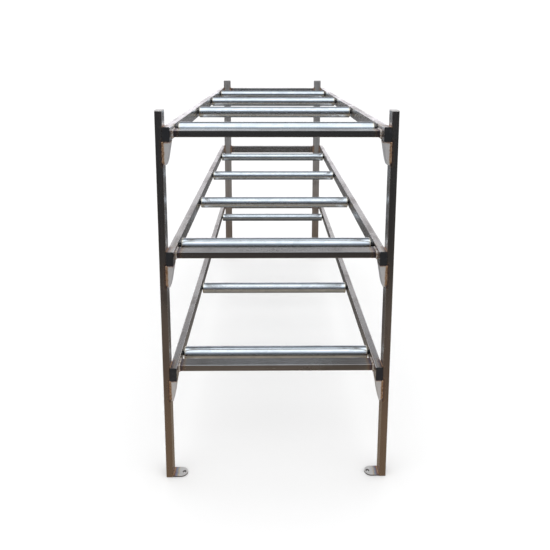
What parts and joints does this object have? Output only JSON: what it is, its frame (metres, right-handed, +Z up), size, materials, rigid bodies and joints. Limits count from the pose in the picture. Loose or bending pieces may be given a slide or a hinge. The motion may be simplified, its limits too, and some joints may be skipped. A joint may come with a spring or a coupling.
{
  "type": "gravity roller conveyor rack",
  "caption": "Tiered gravity roller rack: welded rectangular steel tube frame with level tiers of free-turning zinc-plated rollers.",
  "frame": {"origin": "centre of the floor footprint, on the floor", "axes": "+Z up, +Y along the rack away from the loading end, +X along the roller axes to the right as seen from the loading end"},
  "size_m": [0.825, 2.408, 1.38],
  "materials": {
    "stainless_tube": "mill-finish stainless tube, faintly brushed along its length",
    "zinc_tube": "bright zinc plate, faintly mottled",
    "tab_plate": "satin cut plate",
    "black_plastic": "moulded black plastic",
    "axle_steel": "drawn bright steel",
    "spring_steel": "oiled spring wire"
  },
  "bodies": {
    "frame": {"front_post_left": "stainless_tube", "front_post_right": "stainless_tube", "rear_post_left": "stainless_tube", "rear_post_right": "stainless_tube", "post_caps": "tab_plate", "foot_tabs": "tab_plate", "upper_rail_left": "stainless_tube", "upper_rail_right": "stainless_tube", "upper_front_crossbar": "stainless_tube", "upper_rear_crossbar": "stainless_tube", "middle_rail_left": "stainless_tube", "middle_rail_right": "stainless_tube", "middle_front_crossbar": "stainless_tube", "middle_rear_crossbar": "stainless_tube", "lower_rail_left": "stainless_tube", "lower_rail_right": "stainless_tube", "lower_front_crossbar": "stainless_tube", "lower_rear_crossbar": "stainless_tube", "rail_support_brackets": "stainless_tube", "rail_end_plugs": "black_plastic", "roller_axles": "axle_steel", "bearing_hubs": "black_plastic", "axle_springs": "spring_steel", "spring_washers": "axle_steel"},
    "upper_roller_1": {"upper_roller_1_tube": "zinc_tube", "upper_roller_1_end_housings": "black_plastic", "upper_roller_1_bearings": "axle_steel"},
    "upper_roller_2": {"upper_roller_2_tube": "zinc_tube", "upper_roller_2_end_housings": "black_plastic", "upper_roller_2_bearings": "axle_steel"},
    "upper_roller_3": {"upper_roller_3_tube": "zinc_tube", "upper_roller_3_end_housings": "black_plastic", "upper_roller_3_bearings": "axle_steel"},
    "upper_roller_4": {"upper_roller_4_tube": "zinc_tube", "upper_roller_4_end_housings": "black_plastic", "upper_roller_4_bearings": "axle_steel"},
    "middle_roller_1": {"middle_roller_1_tube": "zinc_tube", "middle_roller_1_end_housings": "black_plastic", "middle_roller_1_bearings": "axle_steel"},
    "middle_roller_2": {"middle_roller_2_tube": "zinc_tube", "middle_roller_2_end_housings": "black_plastic", "middle_roller_2_bearings": "axle_steel"},
    "middle_roller_3": {"middle_roller_3_tube": "zinc_tube", "middle_roller_3_end_housings": "black_plastic", "middle_roller_3_bearings": "axle_steel"},
    "middle_roller_4": {"middle_roller_4_tube": "zinc_tube", "middle_roller_4_end_housings": "black_plastic", "middle_roller_4_bearings": "axle_steel"},
    "lower_roller_1": {"lower_roller_1_tube": "zinc_tube", "lower_roller_1_end_housings": "black_plastic", "lower_roller_1_bearings": "axle_steel"},
    "lower_roller_2": {"lower_roller_2_tube": "zinc_tube", "lower_roller_2_end_housings": "black_plastic", "lower_roller_2_bearings": "axle_steel"},
    "lower_roller_3": {"lower_roller_3_tube": "zinc_tube", "lower_roller_3_end_housings": "black_plastic", "lower_roller_3_bearings": "axle_steel"},
    "lower_roller_4": {"lower_roller_4_tube": "zinc_tube", "lower_roller_4_end_housings": "black_plastic", "lower_roller_4_bearings": "axle_steel"}
  },
  "joints": [
    {"name": "upper_roller_1_spin", "type": "hinge", "parent": "frame", "child": "upper_roller_1", "pos_m": [0, -1.046, 1.299], "axis": [1, 0, 0], "continuous": true},
    {"name": "upper_roller_2_spin", "type": "hinge", "parent": "frame", "child": "upper_roller_2", "pos_m": [0, -0.416, 1.299], "axis": [1, 0, 0], "continuous": true},
    {"name": "upper_roller_3_spin", "type": "hinge", "parent": "frame", "child": "upper_roller_3", "pos_m": [0, 0.214, 1.299], "axis": [1, 0, 0], "continuous": true},
    {"name": "upper_roller_4_spin", "type": "hinge", "parent": "frame", "child": "upper_roller_4", "pos_m": [0, 0.844, 1.299], "axis": [1, 0, 0], "continuous": true},
    {"name": "middle_roller_1_spin", "type": "hinge", "parent": "frame", "child": "middle_roller_1", "pos_m": [0, -1.046, 0.859], "axis": [1, 0, 0], "continuous": true},
    {"name": "middle_roller_2_spin", "type": "hinge", "parent": "frame", "child": "middle_roller_2", "pos_m": [0, -0.416, 0.859], "axis": [1, 0, 0], "continuous": true},
    {"name": "middle_roller_3_spin", "type": "hinge", "parent": "frame", "child": "middle_roller_3", "pos_m": [0, 0.214, 0.859], "axis": [1, 0, 0], "continuous": true},
    {"name": "middle_roller_4_spin", "type": "hinge", "parent": "frame", "child": "middle_roller_4", "pos_m": [0, 0.844, 0.859], "axis": [1, 0, 0], "continuous": true},
    {"name": "lower_roller_1_spin", "type": "hinge", "parent": "frame", "child": "lower_roller_1", "pos_m": [0, -1.046, 0.419], "axis": [1, 0, 0], "continuous": true},
    {"name": "lower_roller_2_spin", "type": "hinge", "parent": "frame", "child": "lower_roller_2", "pos_m": [0, -0.416, 0.419], "axis": [1, 0, 0], "continuous": true},
    {"name": "lower_roller_3_spin", "type": "hinge", "parent": "frame", "child": "lower_roller_3", "pos_m": [0, 0.214, 0.419], "axis": [1, 0, 0], "continuous": true},
    {"name": "lower_roller_4_spin", "type": "hinge", "parent": "frame", "child": "lower_roller_4", "pos_m": [0, 0.844, 0.419], "axis": [1, 0, 0], "continuous": true}
  ]
}
